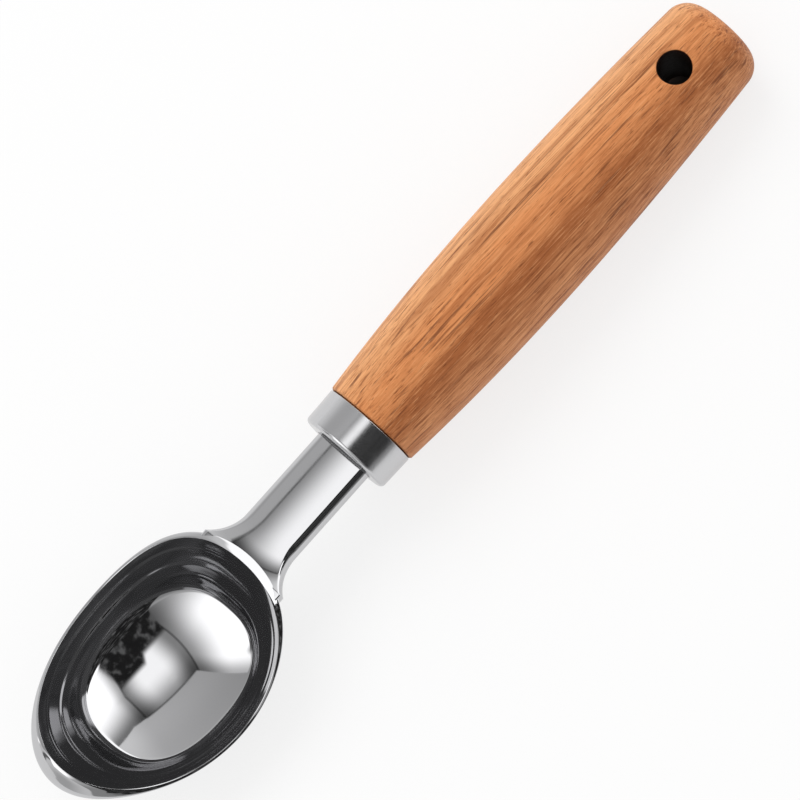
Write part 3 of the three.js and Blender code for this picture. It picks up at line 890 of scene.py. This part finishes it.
def handle_profile(h, window):
    """Places and radii along the wood: butt, rounding, tail, swell, shoulder, spigot and bore. Gives the
    first and last row of the stretch that holds the hanging hole too."""
    flat = h.tail_radius - h.butt_round
    ring = np.linspace(FIRST_RING * flat, flat, BUTT_RINGS, endpoint=False)
    butt = np.stack([np.full_like(ring, -h.length), ring], axis=-1)
    rounding = corner_arc(-h.length + h.butt_round, flat, h.butt_round, 180, 90, FINE_STEPS)
    hole_back = h.length - h.hole_place
    tail_end = h.length - h.butt_round
    back = spaced(
        (tail_end, hole_back + window, TAIL_STEPS),
        (hole_back + window, hole_back - window, WINDOW_STEPS),
        (hole_back - window, h.belly_place, SWELL_STEPS),
        (h.belly_place, h.shoulder_chamfer, FRONT_STEPS),
    )[1:]
    turned = np.stack([-back, turned_radius(h, back)], axis=-1)
    rest = np.array([
        [0, h.shoulder_radius - h.shoulder_chamfer],
        [0, h.spigot_radius],
        [h.spigot_length, h.spigot_radius],
        [h.spigot_length, h.bore_radius],
        [-h.bore_depth, h.bore_radius],
    ])
    first = len(butt) + len(rounding) + TAIL_STEPS - 1
    return np.concatenate([butt, rounding, turned, rest]), first, first + WINDOW_STEPS


def window_border(low, high):
    """Rows and columns of the points on a window's border, walked round once."""
    along, over = np.arange(low, high), np.arange(-WINDOW_HALF, WINDOW_HALF)
    rows = np.concatenate([np.full_like(over, low), along, np.full_like(over, high), along[::-1] + 1])
    columns = np.concatenate(
        [over, np.full_like(along, WINDOW_HALF), over[::-1] + 1, np.full_like(along, -WINDOW_HALF)]
    )
    return rows, columns


def hole_wall(h, plan):
    """Rings from the top window's border, in plan, to the bottom one's. They run straight in plan to the
    hole's edge, as high as the root of the turned radius squared less the distance across squared. Then
    come a quarter of a circle round the edge, the drilled wall, and the mirror image of the first two."""
    centre = np.array([h.hole_place - h.length, 0.0])
    radius = h.hole_diameter / 2
    bearing = np.arctan2(plan[:, 1], plan[:, 0] - centre[0])
    ray = np.stack([np.cos(bearing), np.sin(bearing)], axis=-1)
    edge = centre + (radius + h.hole_round) * ray
    skin = plan + (edge - plan) * np.linspace(0, 1, SKIN_STEPS + 1)[1:, None, None]
    lift = np.sqrt(turned_radius(h, -skin[..., 0]) ** 2 - skin[..., 1] ** 2)
    arc = np.linspace(0, math.pi / 2, EDGE_STEPS + 1)[1:, None]
    lip = centre + (radius + h.hole_round * (1 - np.sin(arc)))[..., None] * ray
    lip_lift = lift[-1] - h.hole_round * (1 - np.cos(arc))
    upper = np.concatenate([
        np.concatenate([skin, lift[..., None]], axis=-1),
        np.concatenate([lip, lip_lift[..., None]], axis=-1),
    ])
    lower = (upper * np.array([1.0, 1.0, -1.0]))[::-1]
    drilled = np.linspace(upper[-1], lower[0], DRILLED_STEPS + 1)[1:-1]
    return np.concatenate([upper, drilled, lower])


class SCOOP_OT_handle(bpy.types.Operator):
    """Make the turned handle: a profile carried round the axis, with the hanging hole let into it"""

    bl_idname = "scoop.handle"
    bl_label = "Handle"

    def execute(self, context):
        h = context.scene.scoop_handle
        columns = HANDLE_COLUMNS
        radius = h.hole_diameter / 2
        profile, low, high = handle_profile(h, radius + WINDOW_MARGIN)
        phi = np.linspace(0, 2 * math.pi, columns, endpoint=False)[None, :]
        x, r = profile[:, :1], profile[:, 1:]
        rows = np.stack(np.broadcast_arrays(x, r * np.sin(phi), r * np.cos(phi)), axis=-1)
        points, quads, triangles = capped(rows, np.array([[-h.length, 0, 0], [-h.bore_depth, 0, 0]]))

        # The quads of the two windows, at the top and at the bottom, make way for the hole
        row, column = np.meshgrid(np.arange(len(rows) - 1), np.arange(columns), indexing="ij")
        at_top = (column + WINDOW_HALF) % columns < 2 * WINDOW_HALF
        at_bottom = (column - columns // 2 + WINDOW_HALF) % columns < 2 * WINDOW_HALF
        in_window = (row >= low) & (row < high) & (at_top | at_bottom)
        index = table(len(rows), columns)
        border_row, border_column = window_border(low, high)
        top = index[border_row, border_column % columns]
        bottom = index[border_row, (columns // 2 - border_column) % columns]
        wall = hole_wall(h, points[top][:, :2])
        strip = np.concatenate([top[None], table(*wall.shape[:2], len(points)), bottom[None]])
        points = np.concatenate([points, wall.reshape(-1, 3)])
        quads = np.concatenate([quads[~in_window.ravel()], ring_quads(strip)])
        finish = oiled_wood(context.scene.scoop_finishes, (h.hole_place - h.length) / MM, radius / MM)
        new_piece("wooden_handle", "handle", (points, quads, triangles), finish, crease=40.0)
        return {"FINISHED"}


# Hidden parts


class SCOOP_OT_hidden_parts(bpy.types.Operator):
    """Give the tang and the two layers of glue their finishes"""

    bl_idname = "scoop.hidden_parts"
    bl_label = "Tang and glue"

    def execute(self, context):
        tones = context.scene.scoop_finishes
        rolled = steel(
            "rolled_steel", tones.rolled_steel, roughness=0.4, line_spread=0.2, smudge_spread=0.1, bump=0.3
        )
        glue = cured_glue(tones.cured_glue)
        for node, finish in (("tang", rolled), ("tang_glue", glue), ("ferrule_glue", glue)):
            for place in frame["nodes"][node].material_slots:
                place.material = finish
        return {"FINISHED"}


# Stage

PICTURE = 800  # pixels along the picture's side
SENSOR = 36.0  # width of the camera's sensor, in Blender's millimetres
FLOOR_REACH = 1.5  # from the frame's origin to the floor's edges
FLOOR_CELLS = 8
PAPER_CELL = 0.4  # size of the floor's faint clouds

# The bit of floor that shows through the hanging hole: its middle from the foot of the hole's axis, its
# dark core, where that ends, where the floor is as elsewhere again, and its colour
SHADE_PLACE = np.array([-0.8, -2.0, 0.0]) * MM
SHADE_CORE, SHADE_EDGE, SHADE_END = 2.8 * MM, 3.4 * MM, 5.2 * MM
DEEP_SHADE = (0.08, 0.07, 0.065)

# Directions in the studio, in degrees. Along is the angle towards the bowl's tip, and across is the turn
# about the scoop from straight up, positive on the camera's side.
HANDLE_SEAM, BOWL_SEAM = -30.0, 11.0  # along, the seams on both sides of the middle panel
FAR_BORDER = -19.5  # across, where the panels end and the grey wall starts
SEAM_WIDTHS = 0.9, 0.3  # from a seam's middle to its edge and to its dark core
TURN_OVER = 0.4  # half the width in which one panel gives way to the next
OPENING_SIDES = -27.0, 13.5  # along, the opening's left and right side at its start
OPENING_SLANT, OPENING_END = 13.8, 78.0  # across, where its right side starts to slant, and where it ends
TIP_GAP = 21.75  # along, the dark gap in the wall past the tip, straight over the scoop


def studio_panels(nodes, along, across):
    """Levels of three white panels side by side, which fade towards their seams and edges, with dark lines
    between them, and of the grey wall on the far side. Gives the middle panel's near edge too."""
    handle_seam = nodes.line(nodes.beyond(across, 0.0), 0.3, HANDLE_SEAM)
    bulge = nodes.math("POWER", nodes.math("DIVIDE", nodes.apart(across, -4.5), 18.4), 2.0)
    bowl_seam = nodes.total(nodes.line(across, 0.1335, BOWL_SEAM), nodes.line(bulge, -3.0, 3.0))
    border = nodes.line(nodes.beyond(along, 8.0), -1.8, FAR_BORDER)
    border = nodes.line(nodes.math("MINIMUM", nodes.apart(along, -38.0), 0.0), 0.6, border)
    near_edge = nodes.ease(along, -9.0, -4.0, 6.5, 11.0)
    from_handle, from_bowl = nodes.apart(along, handle_seam), nodes.apart(along, bowl_seam)
    from_border, from_edge = nodes.apart(across, border), nodes.apart(across, near_edge)

    handle_panel = nodes.product(
        nodes.ease(from_handle, -0.5, -9.0, 0.35, 1.0),
        nodes.ease(from_border, 0.0, 26.0, 0.25, 2.0),
    )
    middle_panel = nodes.product(
        nodes.ease(from_handle, 0.0, 14.0, 0.3, 1.62),
        nodes.ease(from_bowl, -2.5, -17.0, 0.22, 1.0),
        nodes.ease(across, -20.5, -2.0, 0.26, 1.0),
        nodes.ease(from_edge, 0.0, -3.0, 0.2, 1.0),
    )
    bowl_panel = nodes.product(
        nodes.ease(from_bowl, 0.0, 22.0, 0.45, 1.95),
        nodes.ease(across, 22.0, -4.0, 0.3, 1.0),
        nodes.ease(across, 60.0, 24.0, 0.6, 1.0),
        nodes.ease(from_border, 0.0, 20.0, 0.4, 1.0),
    )
    grey_wall = nodes.product(
        nodes.line(along, -0.003, nodes.ease(along, -30.0, -46.0, 0.5, 0.7)),
        nodes.total(
            nodes.ease(across, -24.0, -45.0, 1.18, 1.06), nodes.ease(across, -58.0, -88.0, 0.0, 0.7)
        ),
    )
    level = nodes.over(nodes.ease(from_handle, -TURN_OVER, TURN_OVER), handle_panel, middle_panel)
    level = nodes.over(nodes.ease(from_bowl, -TURN_OVER, TURN_OVER), level, bowl_panel)
    level = nodes.over(nodes.ease(from_border, TURN_OVER, -TURN_OVER), level, grey_wall)

    to_seam = nodes.math("MINIMUM", nodes.near(from_handle), nodes.near(from_bowl))
    seams = nodes.product(nodes.ease(to_seam, *SEAM_WIDTHS), nodes.ease(from_border, -0.6, 0.6))
    lower_edge = nodes.product(
        nodes.ease(nodes.near(from_border), *SEAM_WIDTHS),
        nodes.ease(from_handle, -0.5, 0.5),
        nodes.ease(from_bowl, 0.5, -0.5),
    )
    lines = nodes.ease(nodes.largest(seams, lower_edge), 0.0, 1.0, 1.0, 0.4)
    return nodes.product(level, lines), near_edge


def dark_opening(nodes, along, across, near_edge):
    """Mask of the opening on the camera's side, from the middle panel's near edge on. Its right side slants
    and curves away, and its left one breaks off to the side."""
    above = nodes.beyond(across, OPENING_SLANT)
    slant = nodes.line(above, 0.12, OPENING_SIDES[1])
    right = nodes.line(nodes.product(above, above), 0.0045, slant)
    left = nodes.line(nodes.beyond(across, 40.0), -5.0, OPENING_SIDES[0])
    return nodes.product(
        nodes.ease(nodes.apart(across, near_edge), -0.8, 0.8),
        nodes.ease(nodes.apart(along, left), -2.0, 2.0),
        nodes.ease(across, OPENING_END + 2.0, OPENING_END - 2.0),
        nodes.ease(nodes.apart(along, right), 0.8, -0.8),
    )


def past_tip(nodes, along, across):
    """Mask and level of the wall past the bowl's tip: grey, with a slanting dark gap and white beyond it."""
    gap = nodes.apart(along, nodes.line(across, -0.35, TIP_GAP))
    dark = nodes.product(nodes.ease(nodes.near(gap), 7.0, 2.0), nodes.ease(across, -18.0, -34.0, 0.0, 0.8))
    wall = nodes.product(nodes.ease(along, 58.0, 85.0, 0.82, 0.55), nodes.apart(1.0, dark))
    white = nodes.product(nodes.ease(gap, -14.0, -20.0), nodes.ease(across, -50.0, -60.0))
    low_part = nodes.product(nodes.ease(along, 29.0, 32.0), nodes.ease(across, -38.0, -42.0))
    return nodes.largest(nodes.ease(along, 54.0, 57.0), low_part), nodes.over(white, wall, 2.0)


def light_strips(nodes, along, across):
    """Mask of the light strips that only the bowl's wall shows: one overhead, one to each end."""
    overhead = nodes.product(
        nodes.ease(nodes.near(across, 11.0), 2.6, 1.2), nodes.ease(nodes.near(along, -4.0), 9.0, 6.0)
    )
    to_tip = nodes.product(nodes.ease(along, 19.0, 23.0), nodes.ease(across, 14.0, 8.0))
    to_handle = nodes.product(nodes.ease(along, -23.0, -27.0, 0.0, 0.6), nodes.ease(across, 22.0, 14.0))
    return nodes.largest(overhead, to_tip, to_handle)


def studio_world(fill):
    """Even light from all round. Polished steel sees the studio instead: the panels overhead with the grey
    wall on the far side, the dark opening with dim clutter in it, the wall past the bowl's tip, and white
    past the handle. What it sees by way of three or more reflections is dim, but for the light strips."""
    world = bpy.data.worlds.new("studio")
    bpy.context.scene.world = world
    world.use_nodes = True
    nodes = Tree(world.node_tree)
    direction = nodes.add("ShaderNodeTexCoord").outputs["Generated"]
    x, y, z = nodes.add("ShaderNodeSeparateXYZ", {0: direction}).outputs
    along = nodes.math("DEGREES", nodes.math("ARCSINE", x))
    across = nodes.math("DEGREES", nodes.math("ARCTAN2", y, z))

    level, near_edge = studio_panels(nodes, along, across)
    clutter = nodes.ease(nodes.noise(direction, (0.1, 0.1, 0.1), 3.0, 0.6), 0.48, 0.66, 0.018, 0.15)
    level = nodes.over(dark_opening(nodes, along, across, near_edge), level, clutter)
    beyond_tip, tip_wall = past_tip(nodes, along, across)
    level = nodes.over(beyond_tip, level, tip_wall)
    level = nodes.over(nodes.ease(along, -49.0, -52.5), level, 1.8)
    strips = nodes.product(light_strips(nodes, along, across), 1.2)
    dim = nodes.total(nodes.line(level, 0.07, 0.11), strips)
    ray = nodes.add("ShaderNodeLightPath").outputs
    level = nodes.over(nodes.ease(ray["Ray Depth"], 2.2, 2.8), level, dim)

    even = nodes.largest(ray["Is Camera Ray"], fill)
    room = nodes.add("ShaderNodeBackground", {"Color": (1, 1, 1, 1), "Strength": even}).outputs[0]
    studio = nodes.add("ShaderNodeBackground", {"Color": (1, 1, 1, 1), "Strength": level}).outputs[0]
    either = nodes.add("ShaderNodeMixShader", {0: ray["Is Glossy Ray"], 1: room, 2: studio})
    nodes.add("ShaderNodeOutputWorld", {"Surface": either.outputs[0]})


def camera(s):
    """A long lens over the scoop: it stands back along the rolled-over vertical, and its picture is
    turned so that the scoop's axis runs from lower left to upper right."""
    back = np.array([0.0, math.sin(s.camera_roll), math.cos(s.camera_roll)])
    along = -(FORWARD - FORWARD @ back * back)
    along /= np.linalg.norm(along)
    across = np.cross(along, back)
    right = along * math.cos(s.axis_turn) + across * math.sin(s.axis_turn)
    up = along * math.sin(s.axis_turn) - across * math.cos(s.axis_turn)
    target = shoulder() - s.pixel * (s.centre_along * along + s.centre_across * across)
    place = target + s.camera_distance * back
    data = bpy.data.cameras.new("camera")
    data.sensor_width = SENSOR
    data.lens = data.sensor_width * s.camera_distance / (PICTURE * s.pixel)
    made = bpy.data.objects.new("camera", data)
    turned = np.eye(4)
    turned[:3] = np.stack([right, up, back, place], axis=1)
    made.matrix_world = Matrix(turned.tolist())
    bpy.context.scene.collection.objects.link(made)
    bpy.context.scene.camera = made


def under_hole(h):
    """Middle of the bit of floor that shows through the hanging hole: where the hole's axis meets the
    floor, and a little to the side that the camera sees."""
    hole = in_frame(np.array([h.hole_place - h.length, 0.0, 0.0]))
    return hole - AXES[2] * hole[2] / AXES[2][2] + SHADE_PLACE


def pale_floor(s, shaded):
    """Pale floor with faint clouds. The camera and the steel see it part lit and part plain white, so it is
    white and keeps the scoop's shadow, but the bit under the hanging hole is in deep shade."""
    material, nodes, shader = new_material("pale_floor")
    place = nodes.add("ShaderNodeTexCoord").outputs["Object"]
    pale = tuple(s.floor)
    clouds = nodes.noise(place, (PAPER_CELL, PAPER_CELL, PAPER_CELL), 2.0)
    sheet = nodes.mix(clouds, pale, tuple(0.99 * v for v in pale))
    to_shaded = nodes.add("ShaderNodeVectorMath", {0: place, 1: tuple(shaded)}, operation="DISTANCE")
    away = to_shaded.outputs["Value"]
    shade = nodes.ease(away, SHADE_EDGE, SHADE_CORE)
    nodes.fill(shader, {
        "Base Color": nodes.mix(shade, sheet, DEEP_SHADE), "Roughness": 0.9, "Specular IOR Level": 0.0,
    })

    ray = nodes.add("ShaderNodeLightPath").outputs
    mirrored = nodes.math("ADD", ray["Is Glossy Ray"], ray["Is Transmission Ray"], clamp=True)
    plain = nodes.line(ray["Is Camera Ray"], s.bright, nodes.product(mirrored, s.bright_in_steel))
    plain = nodes.product(plain, nodes.ease(away, SHADE_EDGE, SHADE_END))
    white = nodes.add("ShaderNodeEmission", {"Color": (1, 1, 1, 1), "Strength": 1.0}).outputs[0]
    both = nodes.add("ShaderNodeMixShader", {0: plain, 1: shader.outputs["BSDF"], 2: white})
    out = next(n for n in nodes.tree.nodes if n.bl_idname == "ShaderNodeOutputMaterial")
    nodes.fill(out, {"Surface": both.outputs[0]})
    return material


def floor(material):
    """A flat grid at the height of 0, which the scoop lies on."""
    way = np.linspace(-FLOOR_REACH, FLOOR_REACH, FLOOR_CELLS + 1)
    x, y = np.meshgrid(way, way, indexing="ij")
    points = np.stack([x, y, np.zeros_like(x)], axis=-1).reshape(-1, 3)
    index = table(*x.shape)
    corners = index[:-1, :-1], index[1:, :-1], index[1:, 1:], index[:-1, 1:]
    mesh = bpy.data.meshes.new("floor")
    mesh.from_pydata(points.tolist(), [], np.stack(corners, axis=-1).reshape(-1, 4).tolist())
    mesh.materials.append(material)
    made = bpy.data.objects.new("floor", mesh)
    bpy.context.scene.collection.objects.link(made)


def key_lamp(s):
    """A round lamp turned towards the origin. Its power is the level that it gives on the floor there, times
    pi squared and the square of its distance, over the cosine of its slant."""
    place = Vector(s.key_place)
    lamp = bpy.data.lights.new("key", "AREA")
    lamp.shape = "DISK"
    lamp.size = s.key_width
    lamp.energy = s.key * math.pi**2 * place.length_squared / place.normalized().z
    key = bpy.data.objects.new("key", lamp)
    key.location = place
    key.rotation_euler = place.to_track_quat("Z", "Y").to_euler()
    key.visible_glossy = False
    bpy.context.scene.collection.objects.link(key)


class SCOOP_OT_stage(bpy.types.Operator):
    """Set the pale floor, the soft studio light and the camera"""

    bl_idname = "scoop.stage"
    bl_label = "Stage"

    def execute(self, context):
        s = context.scene.scoop_stage
        context.scene.view_settings.view_transform = "Standard"
        studio_world(s.fill)
        camera(s)
        floor(pale_floor(s, under_hole(context.scene.scoop_handle)))
        key_lamp(s)
        return {"FINISHED"}


# Panel and registration


GROUPS = (
    ("scoop_bowl", BowlSizes, "Bowl"),
    ("scoop_shank", ShankSizes, "Shank"),
    ("scoop_ferrule", FerruleSizes, "Ferrule"),
    ("scoop_handle", HandleSizes, "Handle"),
    ("scoop_finishes", Finishes, "Finishes"),
    ("scoop_stage", StageSettings, "Stage"),
)
OPERATORS = (
    SCOOP_OT_bowl, SCOOP_OT_shank, SCOOP_OT_ferrule, SCOOP_OT_handle, SCOOP_OT_hidden_parts, SCOOP_OT_stage,
)


class SCOOP_PT_panel(bpy.types.Panel):
    """The scoop's steps and sizes in the sidebar"""

    bl_idname = "SCOOP_PT_panel"
    bl_label = "Ice cream scoop"
    bl_space_type = "VIEW_3D"
    bl_region_type = "UI"
    bl_category = "Scoop"

    def draw(self, context):
        """Lists the steps, then each group's sizes and colours."""
        for operator in OPERATORS:
            self.layout.operator(operator.bl_idname)
        for name, kind, label in GROUPS:
            box = self.layout.box()
            box.label(text=label)
            for prop in kind.__annotations__:
                box.prop(getattr(context.scene, name), prop)


def register():
    """Makes the sizes, the steps and the panel known to Blender."""
    for name, kind, _ in GROUPS:
        bpy.utils.register_class(kind)
        setattr(bpy.types.Scene, name, PointerProperty(type=kind))
    for operator in OPERATORS:
        bpy.utils.register_class(operator)
    bpy.utils.register_class(SCOOP_PT_panel)


def unregister():
    """Takes them out again, last one first."""
    bpy.utils.unregister_class(SCOOP_PT_panel)
    for operator in reversed(OPERATORS):
        bpy.utils.unregister_class(operator)
    for name, kind, _ in reversed(GROUPS):
        delattr(bpy.types.Scene, name)
        bpy.utils.unregister_class(kind)


def main():
    """Builds the scoop on its stage."""
    register()
    bpy.ops.scoop.stage()
    bpy.ops.scoop.bowl()
    bpy.ops.scoop.shank()
    bpy.ops.scoop.ferrule()
    bpy.ops.scoop.handle()
    bpy.ops.scoop.hidden_parts()


if __name__ == "__main__":
    main()
